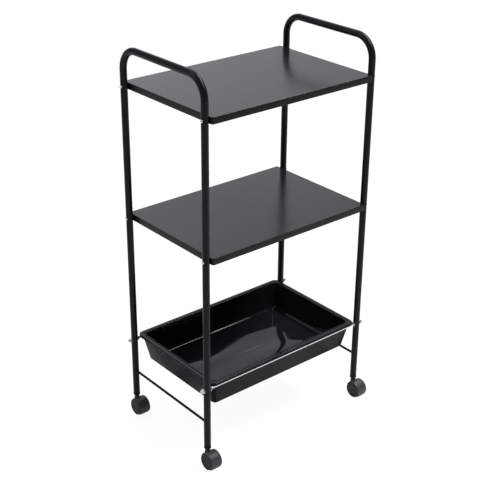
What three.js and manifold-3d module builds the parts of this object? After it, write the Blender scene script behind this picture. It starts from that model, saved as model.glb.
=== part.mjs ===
// A rolling salon trolley: two bent-tube end frames, four push-on lower legs, two laminated
// shelves, a lift-out moulded tray on two cross rods, and four swivelling twin-wheel casters.
// Millimetres. +X runs along the shelves, -Y is the front, +Z is up and the floor is z = 0.

import * as THREE from "three";
import { mergeVertices } from "three/addons/utils/BufferGeometryUtils.js";
import Module from "manifold-3d";

const wasm = await Module();
wasm.setup();

// ---------------------------------------------------------------- driving dimensions
const GAP = 0.3; // clearance left between fixed neighbours
const RUNNING_GAP = 0.2; // radial clearance of a turning fit
const LEG_SPACING_X = 469; // between leg axes along the shelves
const LEG_SPACING_Y = 283; // between leg axes from front to back
const TUBE_R = 8;
const TUBE_WALL = 1;
const TUBE_SIDES = 12;
const HANDLE_AXIS_Z = 922;
const HANDLE_BEND_R = 48;
const BEND_STEPS = 5;
const TUBE_JOINT_Z = 536; // where an end frame plugs into a lower leg
const SPIGOT_R = 6.6;
const SPIGOT_LENGTH = 36;
const LEG_FOOT_Z = 50;

const BOARD_THICKNESS = 15;
const BOARD_DEPTH = 310;
const BOARD_CORNER_R = 5;
const EDGE_BAND = 0.7;
const TOP_SHELF_Z = 843; // upper face of each shelf
const MID_SHELF_Z = 531;
const SCREW_R = 1.9;
const SCREW_HEAD_R = 3.6;
const SCREW_HEAD_HEIGHT = 2.4;
const SCREW_BITE = 25; // how far a shelf screw runs into the board
const SHELVES = { top: TOP_SHELF_Z, mid: MID_SHELF_Z };

const ROD_R = 2.75;
const ROD_Z = 203.5;
const ROD_OVERHANG = 7; // rod past the outside of the tube, inside its cap nut
const NUT_ACROSS_FLATS = 10;
const JAM_NUT_THICKNESS = 3;
const CAP_NUT_HEX = 5;
const CAP_NUT_LENGTH = 10.5;
const CROSS_ROD_R = 3;
const CROSS_ROD_Z = 115;

const TRAY_HALF_X = 222.7; // to the outside of the rim
const TRAY_HALF_Y = 147;
const TRAY_WALL_TOP_HALF_X = 217; // to the outside of the wall, where it meets the flange
const TRAY_WALL_TOP_HALF_Y = 139.3; // the wall passes between the two rods
const TRAY_BOTTOM_HALF_X = 203;
const TRAY_BOTTOM_HALF_Y = 125;
const TRAY_BOTTOM_Z = 144;
const TRAY_RIM_Z = 213.5;
const TRAY_WALL = 2.2;
const TRAY_CORNER_R = 14;
const RIB_DEPTH = 8; // from the skirt to the wall
const FLANGE_THICKNESS = 2.4;
const RIBS_LONG = 9; // flange ribs along each long side
const RIBS_SHORT = 5;

const WHEEL_R = 20;
const WHEEL_INNER_X = 3.4; // from the caster's middle plane to a wheel's inner face
const WHEEL_OUTER_X = 15.6;
const WHEEL_FACE = 3.6; // solid plastic between the axle's bore and a wheel's outer face
const WHEEL_SEGMENTS = 16;
const AXLE_R = 2;
const CASTER_TRAIL = 14;
const HOOD_INNER_R = 20.7;
const HOOD_OUTER_R = 22.2;
const HOOD_HALF_WIDTH = 14.8;
const HOOD_FRONT_ANGLE = -42; // degrees above the forward horizontal where the hood ends
const HOOD_BACK_ANGLE = 156;
const STEM_R = 3.9;
const STEM_TOP_Z = 76;
const STEM_STEP_Z = 38.6; // the stem narrows below this to pass between the wheels
const STEM_PIN_R = 1.9;
const STEM_BOTTOM_Z = 28;
const NECK_R = 5.1;
const SOCKET_BOTTOM_Z = 44.5;
const SOCKET_TOP_Z = 78;
const SOCKET_COLLAR_R = 8.4;
const RING_Z = 69;
const RING_HEIGHT = 3;
const RING_OUTER_R = 4.7;
const RING_INNER_R = 3.35;
const RING_GROOVE_R = 3.1;
const ROUND_SIDES = 16; // axles, stems and the bores they turn in
const SMALL_SIDES = 12; // rods, nuts and sockets
const SCREW_SIDES = 8; // screws, and the holes that screws and rods pass through
const CORNER_SEGMENTS = 2; // an extruded arc is cut into twice this many flats
const THROUGH = 1; // how far a cutter runs past the face that it opens
const HOOD_SEGMENTS = 7;

// ---------------------------------------------------------------- worked-out dimensions
const legX = LEG_SPACING_X / 2;
const legY = LEG_SPACING_Y / 2;
const boardHalfX = legX - TUBE_R - GAP;
const boardHalfY = BOARD_DEPTH / 2;
const screwHoleR = SCREW_R + GAP;
const rodHoleR = ROD_R + GAP;
const capNutX = legX + TUBE_R + GAP;
const frontReach = legY + CASTER_TRAIL + HOOD_OUTER_R;
const originY = (frontReach - boardHalfY) / 2; // puts the origin under the middle of the box
const SIDES = { left: -1, right: 1 };
const ENDS = { front: -1, back: 1 };

// ---------------------------------------------------------------- materials
const finish = (color, roughness, metalness) =>
  new THREE.MeshStandardMaterial({ color, roughness, metalness });
const blackPowderCoat = finish(0x222225, 0.42, 0.3);
const blackLaminate = finish(0x2c2c30, 0.5, 0);
const blackEdging = finish(0x1c1c1e, 0.45, 0);
const glossBlackPlastic = finish(0x0e0e10, 0.12, 0);
const brightZinc = finish(0xc8cacc, 0.25, 1);
const casterPlastic = finish(0x2d2d31, 0.4, 0);
const plainSteel = finish(0x9a9ca0, 0.35, 1);

// ---------------------------------------------------------------- geometry helpers
const radians = (degrees) => (degrees * Math.PI) / 180;

// A closed three.js geometry as a solid that can be joined and cut.
function solid(geometry) {
  const bare = geometry.clone();
  bare.deleteAttribute("normal");
  bare.deleteAttribute("uv");
  const merged = mergeVertices(bare, 1e-4);
  return new wasm.Manifold(
    new wasm.Mesh({
      numProp: 3,
      vertProperties: merged.attributes.position.array,
      triVerts: new Uint32Array(merged.index.array),
    }),
  );
}

function geometryOf(shape) {
  const mesh = shape.getMesh();
  const geometry = new THREE.BufferGeometry();
  geometry.setAttribute("position", new THREE.BufferAttribute(mesh.vertProperties, 3));
  geometry.setIndex(new THREE.BufferAttribute(mesh.triVerts, 1));
  geometry.computeVertexNormals();
  return geometry;
}

function piece(name, geometry, material) {
  const mesh = new THREE.Mesh(geometry, material);
  mesh.name = name;
  return mesh;
}

// A turned form about +Z from a profile of [radius, z] points.
function turned(profile, sides) {
  const points = profile.map(([r, z]) => new THREE.Vector2(r, z));
  return new THREE.LatheGeometry(points, sides).rotateX(Math.PI / 2);
}

// A ring-shaped turned form: its profile closes on itself, away from the axis.
const turnedRing = (profile, sides) => turned([...profile, profile[0]], sides);

// A plain round pin about +X between two places.
function pinAlongX(radius, from, to, sides) {
  const pin = new THREE.CylinderGeometry(radius, radius, to - from, sides);
  return pin.rotateZ(-Math.PI / 2).translate((from + to) / 2, 0, 0);
}

function uprightPin(radius, fromZ, toZ) {
  const pin = new THREE.CylinderGeometry(radius, radius, toZ - fromZ, ROUND_SIDES);
  return pin.rotateX(Math.PI / 2).translate(0, 0, (fromZ + toZ) / 2);
}

function roundedRectangle(halfX, halfY, radius) {
  const shape = new THREE.Shape();
  shape.absarc(halfX - radius, halfY - radius, radius, 0, Math.PI / 2);
  shape.absarc(radius - halfX, halfY - radius, radius, Math.PI / 2, Math.PI);
  shape.absarc(radius - halfX, radius - halfY, radius, Math.PI, 1.5 * Math.PI);
  shape.absarc(halfX - radius, radius - halfY, radius, 1.5 * Math.PI, 2 * Math.PI);
  shape.closePath();
  return shape;
}

// An upright block with a rounded-rectangle plan that narrows towards its foot.
function taperedBlock(top, foot, cornerR, fromZ, toZ) {
  const plan = roundedRectangle(top.x, top.y, cornerR);
  const depth = toZ - fromZ;
  const options = { depth, bevelEnabled: false, curveSegments: CORNER_SEGMENTS };
  const block = new THREE.ExtrudeGeometry(plan, options);
  const position = block.attributes.position;
  for (let i = 0; i < position.count; i++) {
    if (position.getZ(i) > 0) continue;
    position.setX(i, (position.getX(i) * foot.x) / top.x);
    position.setY(i, (position.getY(i) * foot.y) / top.y);
  }
  return block.translate(0, 0, fromZ);
}

const straightBlock = (half, cornerR, fromZ, toZ) =>
  taperedBlock(half, half, cornerR, fromZ, toZ);

// A curve that an extrusion samples exactly at its own list of stations.
class StationCurve extends THREE.Curve {
  constructor(stations) {
    super();
    this.stations = stations;
  }
  station(u) {
    return this.stations[Math.round(u * (this.stations.length - 1))];
  }
  getPoint(t, target = new THREE.Vector3()) {
    return target.copy(this.station(t).point);
  }
  getPointAt(u, target) {
    return this.getPoint(u, target);
  }
  getTangentAt(u, target = new THREE.Vector3()) {
    return target.copy(this.station(u).tangent);
  }
}

// ---------------------------------------------------------------- tube frame
// The centre line of an end frame: up the front leg, over the handle and down the back leg.
function endFrameLine() {
  const stations = [];
  const add = (y, z, ty, tz) =>
    stations.push({ point: new THREE.Vector3(0, y, z), tangent: new THREE.Vector3(0, ty, tz) });
  const bendY = legY - HANDLE_BEND_R;
  const bendZ = HANDLE_AXIS_Z - HANDLE_BEND_R;
  add(-legY, TUBE_JOINT_Z, 0, 1);
  for (let i = 0; i <= BEND_STEPS; i++) {
    const a = radians(90 * (i / BEND_STEPS));
    const y = -bendY - HANDLE_BEND_R * Math.cos(a);
    add(y, bendZ + HANDLE_BEND_R * Math.sin(a), Math.sin(a), Math.cos(a));
  }
  for (let i = 0; i <= BEND_STEPS; i++) {
    const a = radians(90 * (i / BEND_STEPS));
    const y = bendY + HANDLE_BEND_R * Math.sin(a);
    add(y, bendZ + HANDLE_BEND_R * Math.cos(a), Math.cos(a), -Math.sin(a));
  }
  add(legY, TUBE_JOINT_Z, 0, -1);
  return new StationCurve(stations);
}

function endFrame() {
  const section = new THREE.Shape();
  section.absarc(0, 0, TUBE_R, 0, 2 * Math.PI);
  const bore = new THREE.Path();
  bore.absarc(0, 0, TUBE_R - TUBE_WALL, 0, 2 * Math.PI);
  section.holes.push(bore);
  const line = endFrameLine();
  const options = {
    extrudePath: line,
    steps: line.stations.length - 1,
    curveSegments: TUBE_SIDES / 2,
    bevelEnabled: false,
  };
  let frame = solid(new THREE.ExtrudeGeometry(section, options));
  for (const end of Object.values(ENDS)) {
    frame = frame.add(solid(spigot().translate(0, end * legY, 0)));
    for (const topZ of Object.values(SHELVES)) {
      frame = frame.subtract(screwHole(end * legY, topZ - BOARD_THICKNESS / 2));
    }
  }
  return geometryOf(frame);
}

// The narrowed end of the frame tube that plugs into a lower leg.
function spigot() {
  const shoulder = 2.5;
  const overlap = 5; // how far the turned piece runs up inside the frame tube's wall
  const inset = 0.25;
  return turnedRing(
    [
      [SPIGOT_R - TUBE_WALL, TUBE_JOINT_Z - SPIGOT_LENGTH],
      [SPIGOT_R, TUBE_JOINT_Z - SPIGOT_LENGTH],
      [SPIGOT_R, TUBE_JOINT_Z - shoulder],
      [TUBE_R - inset, TUBE_JOINT_Z + inset],
      [TUBE_R - inset, TUBE_JOINT_Z + overlap],
      [TUBE_R - TUBE_WALL + inset, TUBE_JOINT_Z + overlap],
      [TUBE_R - TUBE_WALL + inset, TUBE_JOINT_Z + inset],
      [SPIGOT_R - TUBE_WALL, TUBE_JOINT_Z - shoulder],
    ],
    TUBE_SIDES,
  );
}

// A round cutter along X through a leg that stands at x = 0.
function crossHole(radius, y, z) {
  const reach = 2 * TUBE_R;
  return solid(pinAlongX(radius, -reach, reach, SCREW_SIDES).translate(0, y, z));
}

const screwHole = (y, z) => crossHole(screwHoleR, y, z);

function lowerLeg() {
  const top = TUBE_JOINT_Z - GAP;
  const lip = 0.6; // the open top is flared by this much to clear the frame's shoulder
  const lipFootZ = top - 5;
  const tube = turnedRing(
    [
      [TUBE_R - TUBE_WALL, LEG_FOOT_Z],
      [TUBE_R, LEG_FOOT_Z],
      [TUBE_R, top],
      [TUBE_R - TUBE_WALL + lip, top],
      [TUBE_R - TUBE_WALL + lip, lipFootZ + 1],
      [TUBE_R - TUBE_WALL, lipFootZ],
    ],
    TUBE_SIDES,
  );
  const holed = solid(tube)
    .subtract(screwHole(0, MID_SHELF_Z - BOARD_THICKNESS / 2))
    .subtract(crossHole(rodHoleR, 0, ROD_Z));
  return geometryOf(holed);
}

function crossRod() {
  const length = 2 * (legY - TUBE_R - GAP);
  return new THREE.CylinderGeometry(CROSS_ROD_R, CROSS_ROD_R, length, SMALL_SIDES);
}

// ---------------------------------------------------------------- shelves
// Cutters for the four screws of a shelf, each running in from the edge by a depth.
function screwSockets(depth) {
  const cutters = [];
  for (const side of Object.values(SIDES)) {
    const outer = side * (boardHalfX + THROUGH);
    const inner = side * (boardHalfX - depth);
    const span = [Math.min(outer, inner), Math.max(outer, inner)];
    for (const end of Object.values(ENDS)) {
      const cutter = pinAlongX(screwHoleR, ...span, SCREW_SIDES);
      cutters.push(solid(cutter.translate(0, end * legY, -BOARD_THICKNESS / 2)));
    }
  }
  return cutters;
}

// A shelf's board and band are built with its upper face at z = 0.
function shelfCore() {
  const pilotDepth = SCREW_BITE + 2;
  const inset = EDGE_BAND + GAP;
  const half = { x: boardHalfX - inset, y: boardHalfY - inset };
  let core = solid(straightBlock(half, BOARD_CORNER_R - inset, -BOARD_THICKNESS, 0));
  for (const cutter of screwSockets(pilotDepth)) core = core.subtract(cutter);
  return geometryOf(core);
}

function shelfEdging() {
  const outer = { x: boardHalfX, y: boardHalfY };
  const inner = { x: boardHalfX - EDGE_BAND, y: boardHalfY - EDGE_BAND };
  const innerR = BOARD_CORNER_R - EDGE_BAND;
  const hollow = straightBlock(inner, innerR, -BOARD_THICKNESS - THROUGH, THROUGH);
  let band = solid(straightBlock(outer, BOARD_CORNER_R, -BOARD_THICKNESS, 0));
  band = band.subtract(solid(hollow));
  for (const cutter of screwSockets(EDGE_BAND + THROUGH)) band = band.subtract(cutter);
  return geometryOf(band);
}

// A pan-head screw along +X: its head sits on the tube and its tip is in the board.
function shelfScrew() {
  const seat = TUBE_R + GAP;
  const tip = -(TUBE_R + SCREW_BITE);
  const pointed = 3;
  const pointR = 0.4 * SCREW_R;
  const panEdge = 0.4 * SCREW_HEAD_HEIGHT;
  const panFlatR = 0.6 * SCREW_HEAD_R;
  const profile = [
    [0, tip],
    [pointR, tip + 0.4],
    [SCREW_R, tip + pointed],
    [SCREW_R, seat],
    [SCREW_HEAD_R, seat],
    [SCREW_HEAD_R, seat + panEdge],
    [panFlatR, seat + SCREW_HEAD_HEIGHT],
    [0, seat + SCREW_HEAD_HEIGHT],
  ];
  return turned(profile, SCREW_SIDES).rotateY(Math.PI / 2);
}

// ---------------------------------------------------------------- tray and its rods
function tray() {
  const skirtFootZ = ROD_Z + ROD_R + GAP;
  const wallTop = { x: TRAY_WALL_TOP_HALF_X, y: TRAY_WALL_TOP_HALF_Y };
  const foot = { x: TRAY_BOTTOM_HALF_X, y: TRAY_BOTTOM_HALF_Y };
  const within = (half, by) => ({ x: half.x - by, y: half.y - by });
  const rimHalf = { x: TRAY_HALF_X, y: TRAY_HALF_Y };
  const wallR = TRAY_CORNER_R - TRAY_WALL;

  const wall = solid(taperedBlock(wallTop, foot, wallR, TRAY_BOTTOM_Z, TRAY_RIM_Z));
  const rim = solid(straightBlock(rimHalf, TRAY_CORNER_R, skirtFootZ, TRAY_RIM_Z));
  const under = solid(
    straightBlock(
      within(rimHalf, TRAY_WALL),
      TRAY_CORNER_R - TRAY_WALL,
      skirtFootZ - THROUGH,
      TRAY_RIM_Z - FLANGE_THICKNESS,
    ),
  );
  const hollow = solid(
    taperedBlock(
      within(wallTop, TRAY_WALL),
      within(foot, TRAY_WALL),
      wallR - TRAY_WALL,
      TRAY_BOTTOM_Z + TRAY_WALL,
      TRAY_RIM_Z + THROUGH / 2,
    ),
  );
  let body = wall.add(rim.subtract(under));
  for (const rib of flangeRibs(skirtFootZ)) body = body.add(rib);
  return geometryOf(body.subtract(hollow));
}

// Thin ribs under the flange, which rest on the rods along the long sides.
function flangeRibs(footZ) {
  const thickness = 1.6;
  const height = TRAY_RIM_Z - FLANGE_THICKNESS / 2 - footZ;
  const middleZ = footZ + height / 2;
  const ribs = [];
  const spread = (count, half) =>
    Array.from({ length: count }, (_, i) => half * ((2 * i) / (count - 1) - 1));
  for (const sign of [-1, 1]) {
    for (const x of spread(RIBS_LONG, TRAY_HALF_X - 2 * TRAY_CORNER_R)) {
      const rib = new THREE.BoxGeometry(thickness, RIB_DEPTH, height);
      const y = sign * (TRAY_HALF_Y - (RIB_DEPTH + TRAY_WALL) / 2);
      ribs.push(solid(rib.translate(x, y, middleZ)));
    }
    for (const y of spread(RIBS_SHORT, TRAY_HALF_Y - 2 * TRAY_CORNER_R)) {
      const rib = new THREE.BoxGeometry(RIB_DEPTH, thickness, height);
      const x = sign * (TRAY_HALF_X - (RIB_DEPTH + TRAY_WALL) / 2);
      ribs.push(solid(rib.translate(x, y, middleZ)));
    }
  }
  return ribs;
}

function trayRod() {
  const end = legX + TUBE_R + ROD_OVERHANG;
  return pinAlongX(ROD_R, -end, end, SMALL_SIDES);
}

// A hexagonal block along +X with its flats facing up and down.
function hexAlongX(from, to) {
  const cornerR = NUT_ACROSS_FLATS / Math.sqrt(3);
  return solid(pinAlongX(cornerR, from, to, 6).rotateX(Math.PI / 6));
}

function jamNut() {
  const body = hexAlongX(0, JAM_NUT_THICKNESS);
  const bore = pinAlongX(rodHoleR, -THROUGH, JAM_NUT_THICKNESS + THROUGH, SMALL_SIDES);
  return geometryOf(body.subtract(solid(bore)));
}

// A domed cap nut along +X, open towards the tube at x = 0.
function capNut() {
  const domeR = NUT_ACROSS_FLATS / 2 - 0.2; // just inside the flats
  const domeSteps = 4;
  const profile = [
    [0, 0],
    [domeR, 0],
    [domeR, CAP_NUT_HEX],
  ];
  for (let i = 1; i <= domeSteps; i++) {
    const a = radians(90 * (i / domeSteps));
    const r = i < domeSteps ? domeR * Math.cos(a) : 0;
    profile.push([r, CAP_NUT_HEX + (CAP_NUT_LENGTH - CAP_NUT_HEX) * Math.sin(a)]);
  }
  const dome = solid(turned(profile, SMALL_SIDES).rotateY(Math.PI / 2));
  const bore = pinAlongX(rodHoleR, -THROUGH, ROD_OVERHANG + 1, SMALL_SIDES);
  return geometryOf(hexAlongX(0, CAP_NUT_HEX).add(dome).subtract(solid(bore)));
}

// ---------------------------------------------------------------- casters
// All are built about the swivel axis, which is x = y = 0, with the wheels trailing towards -Y.
function socket() {
  const bore = STEM_R + RUNNING_GAP;
  const chamber = RING_OUTER_R + RUNNING_GAP;
  const plugR = TUBE_R - TUBE_WALL - 0.35;
  const chamfer = 1.6;
  return turnedRing(
    [
      [bore, SOCKET_BOTTOM_Z],
      [SOCKET_COLLAR_R - 2 * chamfer, SOCKET_BOTTOM_Z],
      [SOCKET_COLLAR_R, SOCKET_BOTTOM_Z + chamfer],
      [SOCKET_COLLAR_R, LEG_FOOT_Z - GAP],
      [plugR, LEG_FOOT_Z - GAP],
      [plugR, SOCKET_TOP_Z - chamfer],
      [plugR - chamfer / 2, SOCKET_TOP_Z],
      [bore, SOCKET_TOP_Z],
      [bore, RING_Z + RING_HEIGHT + GAP],
      [chamber, RING_Z + RING_HEIGHT + GAP],
      [chamber, RING_Z - GAP],
      [bore, RING_Z - GAP],
    ],
    SMALL_SIDES,
  );
}

function stem() {
  return turned(
    [
      [0, STEM_BOTTOM_Z],
      [STEM_PIN_R, STEM_BOTTOM_Z],
      [STEM_PIN_R, STEM_STEP_Z],
      [STEM_R, STEM_STEP_Z],
      [STEM_R, RING_Z - GAP],
      [RING_GROOVE_R, RING_Z - GAP],
      [RING_GROOVE_R, RING_Z + RING_HEIGHT + GAP],
      [STEM_R, RING_Z + RING_HEIGHT + GAP],
      [STEM_R, STEM_TOP_Z - 1],
      [STEM_R - 1, STEM_TOP_Z],
      [0, STEM_TOP_Z],
    ],
    ROUND_SIDES,
  );
}

// The split spring ring that grips the socket and holds the stem up by its groove.
function gripRing() {
  const split = radians(25);
  const shape = new THREE.Shape();
  shape.absarc(0, 0, RING_OUTER_R, split, 2 * Math.PI - split);
  shape.absarc(0, 0, RING_INNER_R, 2 * Math.PI - split, split, true);
  shape.closePath();
  const options = { depth: RING_HEIGHT, bevelEnabled: false, curveSegments: SMALL_SIDES / 2 };
  return new THREE.ExtrudeGeometry(shape, options).translate(0, 0, RING_Z);
}

// A slab between two x places from a plan drawn as (forward, up) about the axle.
function slabAboutAxle(shape, halfWidth) {
  const options = { depth: 2 * halfWidth, bevelEnabled: false, curveSegments: HOOD_SEGMENTS };
  const slab = new THREE.ExtrudeGeometry(shape, options).translate(0, 0, -halfWidth);
  slab.rotateX(Math.PI / 2).rotateZ(-Math.PI / 2);
  return slab.translate(0, -CASTER_TRAIL, WHEEL_R);
}

function hood() {
  const from = radians(HOOD_FRONT_ANGLE);
  const to = radians(HOOD_BACK_ANGLE);
  const webOuterR = HOOD_OUTER_R - 0.5; // inside the mantle's wall
  const bossR = 2.4 * AXLE_R;
  const frontMargin = 0.15; // radians that the web stops short of the mantle's ends
  const backMargin = 0.05;
  const bossMargin = 0.6; // radians between the web's corners and its boss
  const mantle = new THREE.Shape();
  mantle.absarc(0, 0, HOOD_OUTER_R, from, to);
  mantle.absarc(0, 0, HOOD_INNER_R, to, from, true);
  mantle.closePath();
  const web = new THREE.Shape();
  web.absarc(0, 0, webOuterR, from + frontMargin, to - backMargin);
  web.absarc(0, 0, bossR, to + bossMargin, from - bossMargin + 2 * Math.PI);
  web.closePath();

  const webHalfWidth = WHEEL_INNER_X - 2 * GAP;
  const wheelSpace = [webHalfWidth, 2 * WHEEL_OUTER_X]; // along the axle, on either side
  const axlePlace = [0, -CASTER_TRAIL, WHEEL_R];
  const neckTop = SOCKET_BOTTOM_Z - GAP;
  let neck = solid(uprightPin(NECK_R, STEM_BOTTOM_Z, neckTop));
  for (const turn of [0, Math.PI]) {
    const space = pinAlongX(HOOD_INNER_R, ...wheelSpace, 2 * ROUND_SIDES);
    neck = neck.subtract(solid(space.rotateZ(turn).translate(...axlePlace)));
  }
  const wideBore = uprightPin(STEM_R + RUNNING_GAP, STEM_STEP_Z - GAP, neckTop + THROUGH);
  const narrowBore = uprightPin(STEM_PIN_R + RUNNING_GAP, STEM_BOTTOM_Z - GAP, neckTop);
  const axleBore = pinAlongX(AXLE_R + RUNNING_GAP, -WHEEL_OUTER_X, WHEEL_OUTER_X, ROUND_SIDES);

  const body = solid(slabAboutAxle(mantle, HOOD_HALF_WIDTH))
    .add(solid(slabAboutAxle(web, webHalfWidth)))
    .add(neck)
    .subtract(solid(wideBore))
    .subtract(solid(narrowBore))
    .subtract(solid(axleBore.translate(...axlePlace)));
  return geometryOf(body);
}

function axle() {
  const half = WHEEL_OUTER_X - WHEEL_FACE - 0.4;
  return pinAlongX(AXLE_R, -half, half, ROUND_SIDES).translate(0, -CASTER_TRAIL, WHEEL_R);
}

// A wheel about +X whose closed outer face carries a raised rim and a shallow dished ring.
function wheel() {
  const boreR = AXLE_R + RUNNING_GAP;
  const boreEnd = WHEEL_OUTER_X - WHEEL_FACE;
  const dish = 1.4;
  const edge = 1.2;
  const rimInnerR = 0.76 * WHEEL_R;
  const dishOuterR = 0.68 * WHEEL_R;
  const dishInnerR = 0.3 * WHEEL_R;
  const capR = 0.24 * WHEEL_R;
  const profile = [
    [0, boreEnd],
    [boreR, boreEnd],
    [boreR, WHEEL_INNER_X],
    [WHEEL_R - edge, WHEEL_INNER_X],
    [WHEEL_R, WHEEL_INNER_X + edge],
    [WHEEL_R, WHEEL_OUTER_X - edge],
    [WHEEL_R - edge, WHEEL_OUTER_X],
    [rimInnerR, WHEEL_OUTER_X],
    [dishOuterR, WHEEL_OUTER_X - dish],
    [dishInnerR, WHEEL_OUTER_X - dish],
    [capR, WHEEL_OUTER_X - dish / 2],
    [0, WHEEL_OUTER_X - dish / 2],
  ];
  return turned(profile, WHEEL_SEGMENTS).rotateY(Math.PI / 2).rotateX(Math.PI / 2);
}

function caster(place) {
  const group = new THREE.Group();
  group.add(piece(`caster_socket_${place}`, socket(), casterPlastic));
  group.add(piece(`caster_grip_ring_${place}`, gripRing(), plainSteel));
  group.add(piece(`caster_stem_${place}`, stem(), plainSteel));
  group.add(piece(`caster_hood_${place}`, hood(), casterPlastic));
  group.add(piece(`caster_axle_${place}`, axle(), plainSteel));
  for (const [side, sign] of Object.entries(SIDES)) {
    const turning = piece(`caster_wheel_${place}_${side}`, wheel(), casterPlastic);
    turning.position.set(0, -CASTER_TRAIL, WHEEL_R);
    if (sign < 0) turning.rotation.z = Math.PI;
    group.add(turning);
  }
  return group;
}

// ---------------------------------------------------------------- assembly
const trolley = new THREE.Group();
const assembly = new THREE.Group();
assembly.position.y = originY;
trolley.add(assembly);

for (const [side, signX] of Object.entries(SIDES)) {
  const frame = piece(`upper_frame_${side}`, endFrame(), blackPowderCoat);
  frame.position.x = signX * legX;
  assembly.add(frame);

  const rod = piece(`cross_rod_${side}`, crossRod(), blackPowderCoat);
  rod.position.set(signX * legX, 0, CROSS_ROD_Z);
  assembly.add(rod);
}

for (const [end, signY] of Object.entries(ENDS)) {
  const rod = piece(`tray_rod_${end}`, trayRod(), brightZinc);
  rod.position.set(0, signY * legY, ROD_Z);
  assembly.add(rod);

  for (const [side, signX] of Object.entries(SIDES)) {
    const place = `${end}_${side}`;
    const corner = new THREE.Group();
    corner.position.set(signX * legX, signY * legY, 0);
    assembly.add(corner);

    corner.add(piece(`lower_leg_${place}`, lowerLeg(), blackPowderCoat));
    corner.add(caster(place));

    // Fasteners are built for the right side and turned about for the left.
    const fasteners = new THREE.Group();
    if (signX < 0) fasteners.rotation.z = Math.PI;
    corner.add(fasteners);

    for (const [shelf, topZ] of Object.entries(SHELVES)) {
      const screw = piece(`${shelf}_shelf_screw_${place}`, shelfScrew(), brightZinc);
      screw.position.z = topZ - BOARD_THICKNESS / 2;
      fasteners.add(screw);
    }

    const inner = piece(`tray_rod_nut_${place}`, jamNut(), brightZinc);
    inner.position.set(-TUBE_R - GAP - JAM_NUT_THICKNESS, 0, ROD_Z);
    fasteners.add(inner);

    const cap = piece(`tray_rod_cap_nut_${place}`, capNut(), brightZinc);
    cap.position.set(capNutX - legX, 0, ROD_Z);
    fasteners.add(cap);
  }
}

for (const [shelf, topZ] of Object.entries(SHELVES)) {
  const core = piece(`${shelf}_shelf_board`, shelfCore(), blackLaminate);
  core.position.z = topZ;
  const edging = piece(`${shelf}_shelf_edging`, shelfEdging(), blackEdging);
  edging.position.z = topZ;
  assembly.add(core, edging);
}

assembly.add(piece("tray", tray(), glossBlackPlastic));

export default trolley;
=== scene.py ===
import math

import bmesh
import bpy
from mathutils import Matrix, Vector


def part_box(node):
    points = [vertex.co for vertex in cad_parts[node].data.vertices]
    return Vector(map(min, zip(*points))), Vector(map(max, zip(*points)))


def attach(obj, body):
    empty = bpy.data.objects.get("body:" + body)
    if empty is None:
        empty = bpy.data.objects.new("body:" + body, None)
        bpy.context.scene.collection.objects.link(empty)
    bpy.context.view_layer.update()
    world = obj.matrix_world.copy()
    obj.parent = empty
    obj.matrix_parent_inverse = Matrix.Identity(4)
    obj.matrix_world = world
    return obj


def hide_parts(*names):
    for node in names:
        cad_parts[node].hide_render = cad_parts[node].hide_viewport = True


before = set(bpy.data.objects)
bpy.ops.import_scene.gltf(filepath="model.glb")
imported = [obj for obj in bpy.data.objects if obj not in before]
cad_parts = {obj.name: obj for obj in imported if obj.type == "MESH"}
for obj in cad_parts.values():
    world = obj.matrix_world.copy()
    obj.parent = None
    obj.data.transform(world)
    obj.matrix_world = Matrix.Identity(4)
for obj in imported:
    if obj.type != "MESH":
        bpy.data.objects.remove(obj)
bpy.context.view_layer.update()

# The trolley's lengths are millimetres, and become metres where a mesh is made or placed.
MM = 0.001
SIDES = ("left", "right")
ENDS = ("front", "back")
PLACES = [f"{end}_{side}" for end in ENDS for side in SIDES]


# ------------------------------------------------------------------ places, from the frame
def corners(node):
    """A node's lowest and highest corners."""
    low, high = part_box(node)
    return low / MM, high / MM


def centre(node):
    low, high = corners(node)
    return (low + high) / 2


def half_spans(node):
    """Half of a node's size along X and along Y."""
    low, high = corners(node)
    return (high.x - low.x) / 2, (high.y - low.y) / 2


LEG_AXIS = {place: centre(f"lower_leg_{place}") for place in PLACES}
MIDDLE_Y = (LEG_AXIS["front_left"].y + LEG_AXIS["back_left"].y) / 2
LEG_HALF_Y = LEG_AXIS["back_left"].y - MIDDLE_Y
TUBE_R = corners("lower_leg_front_left")[1].x - LEG_AXIS["front_left"].x
LEG_FOOT_Z = corners("lower_leg_front_left")[0].z
TUBE_JOINT_Z = corners("lower_leg_front_left")[1].z
HANDLE_TOP_Z = corners("upper_frame_left")[1].z
SPIGOT_FOOT_Z = corners("upper_frame_left")[0].z
ROD_Z = centre("tray_rod_front").z
ROD_R = corners("tray_rod_front")[1].z - ROD_Z
CROSS_ROD_Z = centre("cross_rod_left").z
CROSS_ROD_R = corners("cross_rod_left")[1].z - CROSS_ROD_Z
TOP_SHELF_Z = corners("top_shelf_edging")[1].z

# ------------------------------------------------------------------ sizes of the details
TOUCH_GAP = 0.3  # what is left between pieces that touch
TUBE_WALL = 1.0
HANDLE_BEND_R = 48.0
SPIGOT_R = 6.6
SWAGE_LENGTH = 2.5
EDGE_BAND = 0.7
BAND_EXTRA = 0.15  # the band is this much thicker inwards, which narrows its gap to the board
BOARD_CORNER_R = 5.0
TRAY_WALL = 2.2
TRAY_CORNER_R = 14.0
TRAY_FLANGE = 2.4  # the flange's thickness
FLANGE_WIDTH = 7.9
TRAY_TAPER = 14.0  # how far each wall leans in on its way down
SKIRT_Z = ROD_Z + ROD_R + TOUCH_GAP  # the foot of the skirt under the flange
THREAD_PITCH = 1.0
NUT_ACROSS_FLATS = 10.0
NUT_BORE_R = ROD_R + 0.1
NUT_CHAMFER_R = NUT_ACROSS_FLATS / 2 * 0.97
NUT_CHAMFER_SLOPE = math.tan(math.radians(30))
AXLE_Z = 20.0
TRAIL = 14.0
WHEEL_R = 20.0
HOOD_R = 22.2
HOOD_INNER_R = 20.7
HOOD_HALF_WIDTH = 14.8
WEB_HALF_WIDTH = 2.8
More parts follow.
